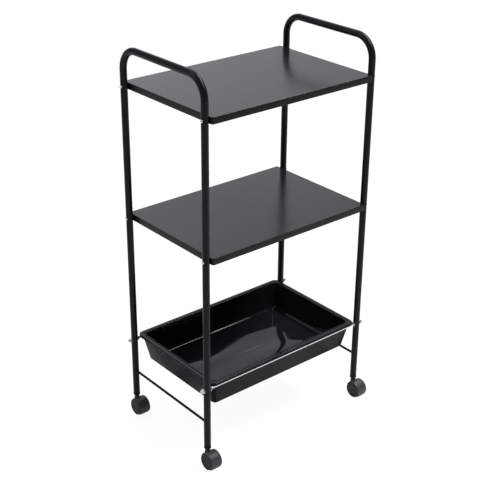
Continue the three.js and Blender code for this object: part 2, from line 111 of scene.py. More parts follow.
STEM_STEP_Z = 38.6
ROUND = 48  # sides of a round form


# ------------------------------------------------------------------ mesh building
# A shape is (vertices, faces). Most are skins stretched over closed rings of points.
def lofted(rings, capped=True, joined=False):
    """Rings of equal length skinned in order; joined closes the last ring onto the first."""
    count = len(rings[0])
    vertices = [point for ring in rings for point in ring]
    faces = []
    spans = len(rings) if joined else len(rings) - 1
    for i in range(spans):
        a, b = i * count, (i + 1) % len(rings) * count
        for j in range(count):
            k = (j + 1) % count
            faces.append((a + j, a + k, b + k, b + j))
    if capped and not joined:
        last = (len(rings) - 1) * count
        faces.append(tuple(reversed(range(count))))
        faces.append(tuple(range(last, last + count)))
    return vertices, faces


def merged(*shapes):
    """Several closed shapes in one mesh."""
    vertices, faces = [], []
    for points, polygons in shapes:
        start = len(vertices)
        vertices += points
        faces += [tuple(start + i for i in polygon) for polygon in polygons]
    return vertices, faces


def placed(shape, *, turn=None, at=(0, 0, 0)):
    """A shape turned, then moved."""
    matrix = Matrix.Translation(at) @ (turn or Matrix.Identity(4))
    return [matrix @ Vector(point) for point in shape[0]], shape[1]


ALONG_X = Matrix.Rotation(math.radians(90), 4, "Y")
ALONG_Y = Matrix.Rotation(math.radians(-90), 4, "X")
ABOUT = Matrix.Rotation(math.pi, 4, "Z")


def outward(place):
    """The turn that points +X away from the trolley's middle, for a place on either side."""
    return ABOUT if place.endswith("left") else Matrix.Identity(4)


def rounded(points, radius, steps=4, closed=False):
    """An outline whose corners become short curves. A point's third value is its own radius."""
    most = 0.48  # a corner takes up less than half of each side
    outline = []
    flat = [Vector(point[:2]) for point in points]
    for i, point in enumerate(flat):
        if not closed and i in (0, len(flat) - 1):
            outline.append(point)
            continue
        before, after = flat[i - 1], flat[(i + 1) % len(flat)]
        own = points[i][2] if len(points[i]) > 2 else radius
        cut = min(own, most * (before - point).length, most * (after - point).length)
        start = point + (before - point).normalized() * cut
        end = point + (after - point).normalized() * cut
        for step in range(steps + 1):
            t = step / steps
            outline.append(start * (1 - t) ** 2 + point * (2 * t * (1 - t)) + end * t**2)
    return outline


def circle(radius, z, sides=ROUND):
    """A ring of points about Z."""
    angles = (2 * math.pi * i / sides for i in range(sides))
    return [Vector((radius * math.cos(a), radius * math.sin(a), z)) for a in angles]


def turned(profile, sides=ROUND, closed=False):
    """A round form about Z. An open profile is capped, down to a point where its radius is 0."""
    rings = [circle(max(r, 1e-3), z, sides) for r, z in profile]
    return lofted(rings, capped=not closed, joined=closed)


def make_mesh(name, shape, smooth=38):
    """A mesh in metres, shaded smooth except across edges sharper than smooth, in degrees."""
    mesh = bpy.data.meshes.new(name)
    mesh.from_pydata([Vector(point) * MM for point in shape[0]], [], shape[1])
    work = bmesh.new()
    work.from_mesh(mesh)
    bmesh.ops.recalc_face_normals(work, faces=work.faces)
    work.to_mesh(mesh)
    work.free()
    mesh.shade_smooth()
    mesh.set_sharp_from_angle(angle=math.radians(smooth))
    return mesh


def show(name, mesh, material, body, nodes=(), at=(0, 0, 0), turn=None):
    """Puts a mesh into the scene as a piece that rides on a body and stands for CAD nodes."""
    piece = bpy.data.objects.new(name, mesh)
    bpy.context.scene.collection.objects.link(piece)
    piece.matrix_world = Matrix.Translation(Vector(at) * MM) @ (turn or Matrix.Identity(4))
    if not mesh.materials:
        mesh.materials.append(material)
    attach(piece, body)
    if nodes:
        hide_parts(*nodes)
    return piece


def combined(name, shape, *steps, smooth=38):
    """The mesh of a shape after booleans; each step is (operation, other shape)."""
    base = bpy.data.objects.new(name, make_mesh(name, shape))
    bpy.context.scene.collection.objects.link(base)
    for operation, other in steps:
        tool = bpy.data.objects.new("tool", make_mesh("tool", other))
        bpy.context.scene.collection.objects.link(tool)
        modifier = base.modifiers.new(operation, "BOOLEAN")
        modifier.operation = operation
        modifier.solver = "EXACT"
        modifier.object = tool
        graph = bpy.context.evaluated_depsgraph_get()
        base.data = bpy.data.meshes.new_from_object(base.evaluated_get(graph))
        base.modifiers.clear()
        bpy.data.objects.remove(tool)
    mesh = base.data
    bpy.data.objects.remove(base)
    mesh.shade_smooth()
    mesh.set_sharp_from_angle(angle=math.radians(smooth))
    return mesh


# ------------------------------------------------------------------ materials
NOISE_LOW, NOISE_HIGH = 0.3, 0.7  # most of a noise's values lie between these


def new_material(name, color, roughness, metallic=0.0, specular=0.5):
    material = bpy.data.materials.new(name)
    material.use_nodes = True
    shader = material.node_tree.nodes["Principled BSDF"]
    shader.inputs["Base Color"].default_value = (*color, 1)
    shader.inputs["Roughness"].default_value = roughness
    shader.inputs["Metallic"].default_value = metallic
    shader.inputs["Specular IOR Level"].default_value = specular
    return material, shader


def add_noise(material, scale, detail=3.0, stretch=(1, 1, 1)):
    """A noise value over the object's own coordinates, in cells per metre."""
    tree = material.node_tree
    place = tree.nodes.new("ShaderNodeTexCoord")
    mapping = tree.nodes.new("ShaderNodeMapping")
    mapping.inputs["Scale"].default_value = stretch
    noise = tree.nodes.new("ShaderNodeTexNoise")
    noise.inputs["Scale"].default_value = scale
    noise.inputs["Detail"].default_value = detail
    tree.links.new(place.outputs["Object"], mapping.inputs["Vector"])
    tree.links.new(mapping.outputs["Vector"], noise.inputs["Vector"])
    return noise.outputs["Fac"]


def vary_color(material, shader, value, dark, light):
    tree = material.node_tree
    ramp = tree.nodes.new("ShaderNodeValToRGB")
    ramp.color_ramp.elements[0].position = NOISE_LOW
    ramp.color_ramp.elements[0].color = (*dark, 1)
    ramp.color_ramp.elements[1].position = NOISE_HIGH
    ramp.color_ramp.elements[1].color = (*light, 1)
    tree.links.new(value, ramp.inputs["Fac"])
    tree.links.new(ramp.outputs["Color"], shader.inputs["Base Color"])


def vary_roughness(material, shader, value, low, high):
    tree = material.node_tree
    spread = tree.nodes.new("ShaderNodeMapRange")
    spread.inputs["From Min"].default_value = NOISE_LOW
    spread.inputs["From Max"].default_value = NOISE_HIGH
    spread.inputs["To Min"].default_value = low
    spread.inputs["To Max"].default_value = high
    tree.links.new(value, spread.inputs["Value"])
    tree.links.new(spread.outputs["Result"], shader.inputs["Roughness"])


def add_bump(material, shader, value, height, strength):
    """Bump from a value, with its height in metres."""
    tree = material.node_tree
    bump = tree.nodes.new("ShaderNodeBump")
    bump.inputs["Strength"].default_value = strength
    bump.inputs["Distance"].default_value = height
    tree.links.new(value, bump.inputs["Height"])
    tree.links.new(bump.outputs["Normal"], shader.inputs["Normal"])


def powder_coat():
    """Semi-gloss black powder coat: fine orange peel over a slightly uneven film."""
    color = (0.0100, 0.0097, 0.0122)
    dark, light = (0.0088, 0.0085, 0.0108), (0.0114, 0.0111, 0.0138)
    material, shader = new_material("black_powder_coat", color, 0.26, specular=0.14)
    vary_color(material, shader, add_noise(material, 35), dark, light)
    vary_roughness(material, shader, add_noise(material, 160), 0.23, 0.29)
    peel = add_noise(material, 700, 2)
    add_bump(material, shader, peel, 0.00002, 0.25)
    return material


def laminate():
    """Satin black melamine face with a very fine pearl texture."""
    color = (0.0105, 0.0103, 0.0118)
    dark, light = (0.0098, 0.0096, 0.0110), (0.0112, 0.0110, 0.0126)
    material, shader = new_material("black_laminate", color, 0.21, specular=0.44)
    vary_color(material, shader, add_noise(material, 14), dark, light)
    vary_roughness(material, shader, add_noise(material, 60), 0.20, 0.22)
    pearl = add_noise(material, 2600, 2)
    add_bump(material, shader, pearl, 0.000003, 0.15)
    return material


def edge_band():
    """The plastic band on the boards' edges, a little duller, with faint marks along its length."""
    color = (0.0060, 0.0060, 0.0066)
    dark, light = (0.0050, 0.0050, 0.0055), (0.0072, 0.0072, 0.0079)
    material, shader = new_material("black_edge_band", color, 0.34, specular=0.2)
    vary_color(material, shader, add_noise(material, 90), dark, light)
    vary_roughness(material, shader, add_noise(material, 220), 0.30, 0.40)
    planed = add_noise(material, 300, 2, stretch=(0.1, 0.1, 6))
    add_bump(material, shader, planed, 0.00002, 0.3)
    return material


def gloss_plastic():
    """Polished black moulded plastic of the tray's inside, with faint wiping marks."""
    color = (0.0090, 0.0090, 0.0106)
    dark, light = (0.0080, 0.0080, 0.0094), (0.0102, 0.0102, 0.0118)
    material, shader = new_material("gloss_black_plastic", color, 0.07, specular=0.31)
    vary_color(material, shader, add_noise(material, 20), dark, light)
    vary_roughness(material, shader, add_noise(material, 45), 0.05, 0.10)
    wiping = add_noise(material, 700, 2, stretch=(1, 0.08, 0.3))
    add_bump(material, shader, wiping, 0.000004, 0.2)
    return material


def shaded_satin_plastic():
    """The same plastic on the tray's outside, as the duller half of the mould leaves it; its darker
    colour and weak reflection are painted shade for the faces turned sideways and down.
    """
    # Painted shade: this darker colour and the low specular level stand for the shade on the tray's
    # sideways and downward faces, over the duller mould finish.
    color = (0.0038, 0.0036, 0.0058)
    dark, light = (0.0032, 0.0030, 0.0050), (0.0046, 0.0044, 0.0068)
    material, shader = new_material("satin_black_plastic_painted_shade", color, 0.24, specular=0.085)
    vary_color(material, shader, add_noise(material, 25), dark, light)
    vary_roughness(material, shader, add_noise(material, 55), 0.225, 0.26)
    mould = add_noise(material, 900, 2)
    add_bump(material, shader, mould, 0.00001, 0.3)
    return material


def bright_zinc():
    """Bright zinc plate with a faint brushed grain and slightly duller patches."""
    material, shader = new_material("bright_zinc", (0.90, 0.91, 0.92), 0.36, metallic=1.0)
    vary_color(material, shader, add_noise(material, 400), (0.85, 0.86, 0.88), (0.94, 0.95, 0.96))
    vary_roughness(material, shader, add_noise(material, 900), 0.31, 0.42)
    grain = add_noise(material, 1500, 2, stretch=(0.2, 1, 1))
    add_bump(material, shader, grain, 0.000008, 0.2)
    return material


def plain_steel():
    """Turned steel of the hidden pins, with fine tool rings."""
    material, shader = new_material("turned_steel", (0.45, 0.46, 0.47), 0.3, metallic=1.0)
    vary_color(material, shader, add_noise(material, 300), (0.38, 0.39, 0.40), (0.50, 0.51, 0.52))
    vary_roughness(material, shader, add_noise(material, 700), 0.24, 0.38)
    rings = add_noise(material, 1200, 2, stretch=(0.2, 0.2, 4))
    add_bump(material, shader, rings, 0.00002, 0.35)
    return material


def caster_plastic():
    """Satin charcoal nylon with a fine spark-eroded mould texture; its colour is lifted lighter as
    painted light, for the light that the hood's front catches.
    """
    # Painted light: the hood's own charcoal, made lighter to stand for the light falling on its
    # front.
    color = (0.0560, 0.0552, 0.0624)
    dark, light = (0.0510, 0.0503, 0.0569), (0.0615, 0.0606, 0.0685)
    material, shader = new_material("charcoal_nylon_painted_lit", color, 0.48, specular=0.5)
    vary_color(material, shader, add_noise(material, 120), dark, light)
    vary_roughness(material, shader, add_noise(material, 300), 0.45, 0.52)
    mould = add_noise(material, 1800, 2)
    add_bump(material, shader, mould, 0.00001, 0.25)
    return material


def tread_plastic():
    """The wheels' nylon: darker, with a band of dust and light scuffs from rolling."""
    color = (0.0095, 0.0094, 0.0108)
    dark, light = (0.0080, 0.0079, 0.0090), (0.0120, 0.0118, 0.0135)
    material, shader = new_material("charcoal_tread", color, 0.40, specular=0.30)
    vary_color(material, shader, add_noise(material, 260), dark, light)
    vary_roughness(material, shader, add_noise(material, 420), 0.36, 0.52)
    scuffs = add_noise(material, 900, 3, stretch=(3, 1, 1))
    add_bump(material, shader, scuffs, 0.00003, 0.4)
    return material


POWDER = powder_coat()
LAMINATE = laminate()
EDGING = edge_band()
GLOSS = gloss_plastic()
SHADED_SATIN = shaded_satin_plastic()
ZINC = bright_zinc()
STEEL = plain_steel()
NYLON_PAINTED_LIT = caster_plastic()
TREAD = tread_plastic()


# ------------------------------------------------------------------ tube frame
def tube_ring(point, tangent, radius):
    """A circle square to a line that runs in the YZ plane."""
    across = Vector((1, 0, 0))
    normal = across.cross(tangent)
    ring = []
    for i in range(ROUND):
        a = 2 * math.pi * i / ROUND
        ring.append(point + radius * (math.cos(a) * across + math.sin(a) * normal))
    return ring


def end_frame_line():
    """Points and tangents from under the top shelf, over the handle and down, at x = 0."""
    bend_steps = 24
    straight = (TOP_SHELF_Z - 60, TOP_SHELF_Z)
    bend_y = LEG_HALF_Y - HANDLE_BEND_R
    bend_z = HANDLE_TOP_Z - TUBE_R - HANDLE_BEND_R
    line = []

    def add(y, z, turn):
        tangent = Vector((0, math.sin(turn), math.cos(turn)))
        line.append((Vector((0, MIDDLE_Y + y, z)), tangent))

    for z in straight:
        add(-LEG_HALF_Y, z, 0)
    for i in range(bend_steps + 1):
        a = math.radians(90 * i / bend_steps)
        y, z = -bend_y - HANDLE_BEND_R * math.cos(a), bend_z + HANDLE_BEND_R * math.sin(a)
        add(y, z, a)
    for i in range(bend_steps + 1):
        a = math.radians(90 * i / bend_steps)
        y, z = bend_y + HANDLE_BEND_R * math.sin(a), bend_z + HANDLE_BEND_R * math.cos(a)
        add(y, z, a + math.pi / 2)
    for z in reversed(straight):
        add(LEG_HALF_Y, z, math.pi)
    return line


def spigot_profile():
    """(radius, height) from a spigot's foot up through the swage to the full tube."""
    outline = [
        (SPIGOT_R - 0.5, SPIGOT_FOOT_Z),
        (SPIGOT_R, SPIGOT_FOOT_Z + 0.8),
        (SPIGOT_R, TUBE_JOINT_Z - SWAGE_LENGTH),
        (TUBE_R, TUBE_JOINT_Z + 0.6),
        (TUBE_R, TUBE_JOINT_Z + 2),
    ]
    return rounded(outline, 1.2)


def end_frame_shape():
    """The bent tube of one end, at x = 0: its outer skin and its bore, joined at the ends."""
    up, down = Vector((0, 0, 1)), Vector((0, 0, -1))
    front, back = MIDDLE_Y - LEG_HALF_Y, MIDDLE_Y + LEG_HALF_Y
    swage = spigot_profile()
    stations = [(Vector((0, front, z)), up, r) for r, z in swage]
    stations += [(point, tangent, TUBE_R) for point, tangent in end_frame_line()]
    stations += [(Vector((0, back, z)), down, r) for r, z in reversed(swage)]
    outer = [tube_ring(point, tangent, radius) for point, tangent, radius in stations]
    inner = [tube_ring(point, tangent, radius - TUBE_WALL) for point, tangent, radius in stations]
    return lofted(outer + inner[::-1], joined=True)


def lower_leg_shape():
    """A straight tube about Z with rolled lips, its open top just wide enough for the swage."""
    inner_r = TUBE_R - TUBE_WALL
    mouth_r = inner_r + 0.6
    top, foot = TUBE_JOINT_Z, LEG_FOOT_Z
    profile = [
        (inner_r, foot, 0.3),
        (TUBE_R, foot, 0.5),
        (TUBE_R, top, 0.5),
        (mouth_r, top, 0.3),
        (mouth_r, top - 4),
        (inner_r, top - 5),
    ]
    outline = rounded(profile, 0.5, closed=True)
    return turned([(p.x, p.y) for p in outline], closed=True)


def weld_bead_shape(seed):
    """The uneven bead round the end of a cross rod, about Z, with that end at z = 0."""
    sides, section = 36, 10
    rings = []
    for i in range(sides):
        a = 2 * math.pi * i / sides
        size = 1.35 + 0.22 * math.sin(7 * a + seed) + 0.12 * math.sin(13 * a + 2 * seed)
        sag = 0.45 * (1 - math.cos(2 * a)) / 2  # it sinks into the tube above and below the rod
        ring = []
        for j in range(section):
            b = 2 * math.pi * j / section
            r = CROSS_ROD_R + size * math.cos(b) * 0.9
            ring.append(Vector((r * math.cos(a), r * math.sin(a), size * math.sin(b) - sag)))
        rings.append(ring)
    return lofted(rings, joined=True)


def add_tube_frame():
    frame_mesh = make_mesh("end_frame", end_frame_shape())
    leg_mesh = make_mesh("lower_leg", lower_leg_shape())
    half = half_spans("cross_rod_left")[1]
    rod_outline = rounded([(0, -half), (CROSS_ROD_R, -half), (CROSS_ROD_R, half), (0, half)], 0.3)
    rod_mesh = make_mesh("cross_rod", placed(turned(rod_outline, 32), turn=ALONG_Y))
    for side in SIDES:
        x = LEG_AXIS[f"front_{side}"].x
        node = f"upper_frame_{side}"
        show(f"{node}_tube", frame_mesh, POWDER, "trolley", [node], (x, 0, 0))
        node = f"cross_rod_{side}"
        at = (x, MIDDLE_Y, CROSS_ROD_Z)
        show(f"{node}_bar", rod_mesh, POWDER, "trolley", [node], at)
    for seed, place in enumerate(PLACES):
        axis = LEG_AXIS[place]
        node = f"lower_leg_{place}"
        at = (axis.x, axis.y, 0)
        show(f"{node}_tube", leg_mesh, POWDER, "trolley", [node], at)
        inward = -1 if place.startswith("back") else 1
        turn = Matrix.Rotation(-inward * math.pi / 2, 4, "X")
        bead = make_mesh(f"weld_{place}", placed(weld_bead_shape(seed), turn=turn))
        at = (axis.x, axis.y + inward * (TUBE_R + TOUCH_GAP), CROSS_ROD_Z)
        show(f"cross_rod_weld_{place}", bead, POWDER, "trolley", at=at)


# ------------------------------------------------------------------ shelves
def plan_ring(half_x, half_y, corner, z, steps=8, spans=(1, 1)):
    """A rounded rectangle at one height; spans divide its sides along X and along Y."""
    points = []
    quarter = [(1, 1, 0), (-1, 1, 90), (-1, -1, 180), (1, -1, 270)]
    for i, (sx, sy, start) in enumerate(quarter):
        for step in range(steps + 1):
            a = math.radians(start + 90 * step / steps)
            x = sx * (half_x - corner) + corner * math.cos(a)
            points.append(Vector((x, sy * (half_y - corner) + corner * math.sin(a), z)))
        nx, ny, turn = quarter[(i + 1) % 4]
        a = math.radians(turn)
        after = Vector((nx * (half_x - corner) + corner * math.cos(a), 0, z))
        after.y = ny * (half_y - corner) + corner * math.sin(a)
        count = spans[i % 2]
        last = points[-1]
        points += [last.lerp(after, k / count) for k in range(1, count)]
    return points


def board_shape(node):
    """A slab with softened arrises, about its own centre, with its upper face at z = 0."""
    low, high = corners(node)
    half_x, half_y = half_spans(node)
    thickness = high.z - low.z
    arris = 0.35
    edge = [(arris + 3, -thickness), (0, -thickness), (0, 0), (arris + 3, 0)]
    rings = []
    for inset, z in rounded(edge, arris):
        corner = max(BOARD_CORNER_R - EDGE_BAND - inset, 0.6)
        rings.append(plan_ring(half_x - inset, half_y - inset, corner, z))
    return lofted(rings)


def edging_shape(node):
    """The thin band round a board, as high as the board, with its own softened arrises."""
    low, high = corners(node)
    half_x, half_y = half_spans(node)
    thickness = high.z - low.z
    band = EDGE_BAND + BAND_EXTRA
    section = [(0, 0, 0.55), (0, -thickness, 0.55), (band, -thickness), (band, 0)]
    rings = []
    for inset, z in rounded(section, 0.1, closed=True):
        rings.append(plan_ring(half_x - inset, half_y - inset, BOARD_CORNER_R - inset, z))
    return lofted(rings, joined=True)


def screw_mesh():
    """A pan-head screw about Z, head up, with a cross recess; z = 0 is the tube's axis."""
    seat, head_r, head_h = TUBE_R + 0.05, 3.6, 2.6
    shank_r, tip = 1.9, -33.0
    outline = [
        (0, tip),
        (shank_r * 0.3, tip + 0.6),
        (shank_r, tip + 4),
        (shank_r, seat),
        (head_r, seat, 0.2),
        (head_r, seat + head_h * 0.55, 1.4),
        (head_r * 0.62, seat + head_h, 1.6),
        (0, seat + head_h),
    ]
    head = turned(rounded(outline, 0.3, 6), 40)
    recess_foot, recess_rim = seat + head_h - 1.7, seat + head_h + 0.5
    wings = []
    for turn in (0, math.pi / 2):
        spin = Matrix.Rotation(turn, 4, "Z")
        low = plan_ring(0.7, 0.28, 0.2, recess_foot, 3)
        high = plan_ring(2.1, 0.5, 0.25, recess_rim, 3)
        wings.append(placed(lofted([low, high]), turn=spin))
    return combined("shelf_screw", head, ("DIFFERENCE", wings[0]), ("DIFFERENCE", wings[1]))


def add_shelves():
    screw = screw_mesh()
    screw.transform(ALONG_X)  # its head now faces +X
    for shelf in ("top", "mid"):
        board, edging = f"{shelf}_shelf_board", f"{shelf}_shelf_edging"
        middle = centre(board)
        at = (middle.x, middle.y, corners(board)[1].z)
        mesh = make_mesh(board, board_shape(board), smooth=60)
        show(f"{board}_slab", mesh, LAMINATE, "trolley", [board], at)
        mesh = make_mesh(edging, edging_shape(edging), smooth=60)
        show(f"{edging}_band", mesh, EDGING, "trolley", [edging], at)
        for i, place in enumerate(PLACES):
            node = f"{shelf}_shelf_screw_{place}"
            axis = LEG_AXIS[place]
            spin = Matrix.Rotation(0.7 + 1.3 * i + at[2], 4, "X")  # each its own way
            turn = outward(place) @ spin
            at_screw = (axis.x, axis.y, centre(node).z)
            show(f"{node}_pan_head", screw, ZINC, "trolley", [node], at_screw, turn)


# ------------------------------------------------------------------ tray and its rods
# The tray's floor swells up round three places: middle x and y, reach in x and y, height.
FLOOR_SWELLS = (
    (102, -52, 104, 26, 3.7),
    (62, 102, 37, 40, 1.2),
    (-97, 19, 48, 19, 1.8),
)


def floor_warp(x, y):
    """How far the thin moulded floor stands up from flat, by the place on it."""
    ripple = 0.07 * math.sin(x / 19 + 1.1) * math.sin(y / 15 + 0.4)
    height = 0.0
    for middle_x, middle_y, reach_x, reach_y, rise in FLOOR_SWELLS:
        apart = ((x - middle_x) / reach_x) ** 2 + ((y - middle_y) / reach_y) ** 2
        height += rise * math.exp(-apart / 2)
    return height + ripple


def tray_shape():
    """One skin from the underside's middle, out round the flange, then in to the floor's middle."""
    low, high = corners("tray")
    half_x, half_y = half_spans("tray")
    foot_z, rim_z = low.z, high.z
    wall_out = FLANGE_WIDTH - TRAY_WALL  # inset of the wall's outer face under the flange
    foot_in = wall_out + TRAY_TAPER
    skirt_in = TRAY_WALL - 0.3
    flat_from = foot_in + 18
    under_z = rim_z - TRAY_FLANGE
    floor_z = foot_z + TRAY_WALL
    groove_z = rim_z - 1.8  # a groove runs round the flange, just outside the opening
    panel = 0.7  # the underside is let in by this much inside its foot ring
    section = [
        (half_y - 12, foot_z + panel + 0.3),
        (foot_in + 12, foot_z + panel, 1),
        (foot_in + 9, foot_z, 1),
        (foot_in, foot_z, 5),
        (wall_out, under_z, 1.5),
        (skirt_in, under_z, 1.2),
        (skirt_in, SKIRT_Z, 0.5),
        (0.35, SKIRT_Z, 0.6),
        (0, rim_z, 1.8),
        (7.2, rim_z, 0.4),
        (7.6, groove_z, 0.3),
        (9.4, groove_z, 0.3),
        (9.8, rim_z, 0.4),
        (12.2, rim_z, 1.4),
        (foot_in + TRAY_WALL + 0.3, floor_z, 7),
        (flat_from, floor_z),
    ]
    outline = rounded(section, 1, 6)
    floor_steps = 17
    for step in range(1, floor_steps + 1):
        inset = flat_from + (half_y - 0.3 - flat_from) * step / floor_steps
        outline.append(Vector((inset, floor_z)))
    rings = []
    for inset, z in outline:
        corner = max(TRAY_CORNER_R - 0.28 * inset, 4)
        corner = min(corner, half_y - inset - 0.1)
        ring = plan_ring(half_x - inset, half_y - inset, corner, z, 10, (40, 26))
        if inset > flat_from:
            fade = min(1, (inset - flat_from) / 30)  # the floor is flat at its edges
            for point in ring:
                point.z += fade * fade * (3 - 2 * fade) * floor_warp(point.x, point.y)
        rings.append(ring)
    return lofted(rings)


def flange_ribs_shape():
    """Thin webs under the flange, from the skirt to the wall."""
    half_x, half_y = half_spans("tray")
    under_z = corners("tray")[1].z - TRAY_FLANGE + 0.4
    length, thickness = FLANGE_WIDTH - TRAY_WALL, 1.3
    skirt = 1.6  # the ribs start this far in from the tray's edge, inside the skirt's wall
    ribs = []

    def rib(x, y, half_w, half_d):
        foot = plan_ring(half_w - 0.2, half_d, 0.2, SKIRT_Z + 0.1, 2)
        top = plan_ring(half_w, half_d, 0.2, under_z, 2)
        ribs.append(placed(lofted([foot, top]), at=(x, y, 0)))

    for sign in (-1, 1):
        for i in range(9):
            x = (half_x - 2 * TRAY_CORNER_R) * (i / 4 - 1)
            rib(x, sign * (half_y - skirt - length / 2), thickness / 2, length / 2)
        for i in range(5):
            y = (half_y - 2 * TRAY_CORNER_R) * (i / 2 - 1)
            rib(sign * (half_x - skirt - length / 2), y, length / 2, thickness / 2)
    return merged(*ribs)


def rod_shape(length):
    """A plain bar about Z with rolled threads at both ends, centred on the origin."""
    threaded, thread_depth, run_out = 19.0, 0.32, 1.5
    sides, rings_per_turn = 24, 8
    half = length / 2
    step = THREAD_PITCH / rings_per_turn
    count = int(threaded / step)
    heights = [-half + 0.01]
    heights += [-half + 0.4 + i * step for i in range(count)]
    heights += [half - 0.4 - i * step for i in reversed(range(count))]
    heights.append(half - 0.01)
    rings = []
    for z in heights:
        from_end = half - abs(z)
        depth = thread_depth * min(1, max(0, (threaded - 0.6 - from_end) / run_out))
        ring = []
        for i in range(sides):
            share = i / sides
            phase = (z / THREAD_PITCH - share) % 1
            r = ROD_R - depth * abs(2 * phase - 1)
            if from_end < 0.2:
                r = ROD_R - 0.7  # the chamfered tip
            a = 2 * math.pi * share
            ring.append(Vector((r * math.cos(a), r * math.sin(a), z)))
        rings.append(ring)
    return lofted(rings)


def hexagon_radius(a):
    """From the axis to the edge of a hexagon with a flat facing angle 0."""
    half_flat = NUT_ACROSS_FLATS / 2
    within = (a + math.pi / 6) % (math.pi / 3) - math.pi / 6
    return half_flat / math.cos(within)


def hexagonal(rows, joined):
    """A form about Z from rows of (radius, z, slope); a hex row has radius None, and its z
    moves by slope for each millimetre that the hexagon reaches past its chamfer circle."""
    sides = 72
    rings = []
    for radius, z, slope in rows:
        ring = []
        for i in range(sides):
            a = 2 * math.pi * i / sides
            edge = hexagon_radius(a)
            r = edge if radius is None else radius
            lift = slope * (edge - NUT_CHAMFER_R)
            ring.append(Vector((r * math.cos(a), r * math.sin(a), z + lift)))
        rings.append(ring)
    return lofted(rings, joined=joined, capped=not joined)


def jam_nut_shape():
    """A thin nut with both faces and both ends of its bore chamfered."""
    thick = 3.0
    rows = [
        (NUT_BORE_R, 0.4, 0),
        (NUT_BORE_R + 0.4, 0, 0),
        (NUT_CHAMFER_R - 0.1, 0, 0),
        (None, 0.1, NUT_CHAMFER_SLOPE),
        (None, thick - 0.1, -NUT_CHAMFER_SLOPE),
        (NUT_CHAMFER_R - 0.1, thick, 0),
        (NUT_BORE_R + 0.4, thick, 0),
        (NUT_BORE_R, thick - 0.4, 0),
    ]
    return hexagonal(rows, joined=True)


def cap_nut_shape():
    """A domed nut: its blind bore first, then the hexagon, then the dome."""
    hex_h, length, bore_depth = 5.0, 10.5, 7.6
    dome_r, dome_steps = NUT_CHAMFER_R - 0.5, 12
    rows = [
        (0.01, bore_depth + 0.8, 0),
        (NUT_BORE_R, bore_depth, 0),
        (NUT_BORE_R, 0.4, 0),
        (NUT_BORE_R + 0.4, 0, 0),
        (NUT_CHAMFER_R - 0.1, 0, 0),
        (None, 0.1, NUT_CHAMFER_SLOPE),
        (None, hex_h - 0.1, -NUT_CHAMFER_SLOPE),
        (NUT_CHAMFER_R - 0.15, hex_h, 0),
        (NUT_CHAMFER_R - 0.45, hex_h + 0.15, 0),
    ]
    for i in range(dome_steps + 1):
        a = math.radians(90 * i / dome_steps)
        r = max(dome_r * math.cos(a), 0.01)
        rows.append((r, hex_h + 0.3 + (length - hex_h - 0.3) * math.sin(a), 0))
    return hexagonal(rows, joined=False)


def add_tray():
    low, high = corners("tray")
    at = ((low.x + high.x) / 2, (low.y + high.y) / 2, 0)
    polished_above = 0.12  # a face whose normal has more Z than this has the polished finish
    mesh = make_mesh("tray_tub", merged(tray_shape(), flange_ribs_shape()), smooth=50)
    mesh.materials.append(GLOSS)
    mesh.materials.append(SHADED_SATIN)
    # Faces turned sideways and down take the darker satin copy, which is painted shade over the
    # duller finish of the mould's outer half.
    for face in mesh.polygons:
        face.material_index = 0 if face.normal.z > polished_above else 1
    show("tray_tub", mesh, GLOSS, "tray", ["tray"], at)

    rod_low, rod_high = corners("tray_rod_front")
    rod = make_mesh("tray_rod", placed(rod_shape(rod_high.x - rod_low.x), turn=ALONG_X), smooth=60)
    jam = make_mesh("jam_nut", placed(jam_nut_shape(), turn=ALONG_X), smooth=28)
    cap = make_mesh("cap_nut", placed(cap_nut_shape(), turn=ALONG_X), smooth=28)
    for end in ENDS:
        node = f"tray_rod_{end}"
        show(f"{node}_bar", rod, ZINC, "trolley", [node], centre(node))
    for place in PLACES:
        for kind, form, mesh in (("nut", "hex", jam), ("cap_nut", "dome", cap)):
            node = f"tray_rod_{kind}_{place}"
            low, high = corners(node)
            inner_x = high.x if place.endswith("left") else low.x
            at, turn = (inner_x, centre(node).y, ROD_Z), outward(place)
            show(f"{node}_{form}", mesh, ZINC, "trolley", [node], at, turn)


# ------------------------------------------------------------------ casters
# Built about the swivel axis x = y = 0, with the wheels trailing towards -Y.
def about_axle(forward, up, x):
    """A point by its distances from the axle's middle, forward being away from the stem."""
    return Vector((x, -TRAIL - forward, AXLE_Z + up))


def mantle_shape():
    """The curved cover: a thin section across the caster, swept round the axle."""
    crown = 1.3
    half, outer, inner = HOOD_HALF_WIDTH, HOOD_R, HOOD_INNER_R
    section = [
        (-half, inner - 0.25, 0.3),
        (-half, outer - crown, 0.5),
        (-half * 0.7, outer, 5),
        (half * 0.7, outer, 5),
        (half, outer - crown, 0.5),
        (half, inner - 0.25, 0.3),
    ]
    outline = rounded(section, 0.5, 5, closed=True)
    middle_r = (outer + inner) / 2
    first, last, lip, steps = -42.0, 156.0, 1.2, 44  # angles in degrees, up from forward
    stations = [(first + (last - first) * i / steps, 1.0) for i in range(steps + 1)]
    end_round = [(0.55, 0.25), (0.3, 0.62), (0.1, 0.88)]  # share of the lip, and thickness
    stations = [(first - lip * share, s) for share, s in end_round] + stations
    stations += [(last + lip * share, s) for share, s in reversed(end_round)]
    rings = []
    for angle, scale in stations:
        a = math.radians(angle)
        ring = []
        for x, r in outline:
            r = middle_r + (r - middle_r) * scale
            x = x * (1 - 0.02 * (1 - scale))
            ring.append(about_axle(r * math.cos(a), r * math.sin(a), x))
        rings.append(ring)
    return lofted(rings)


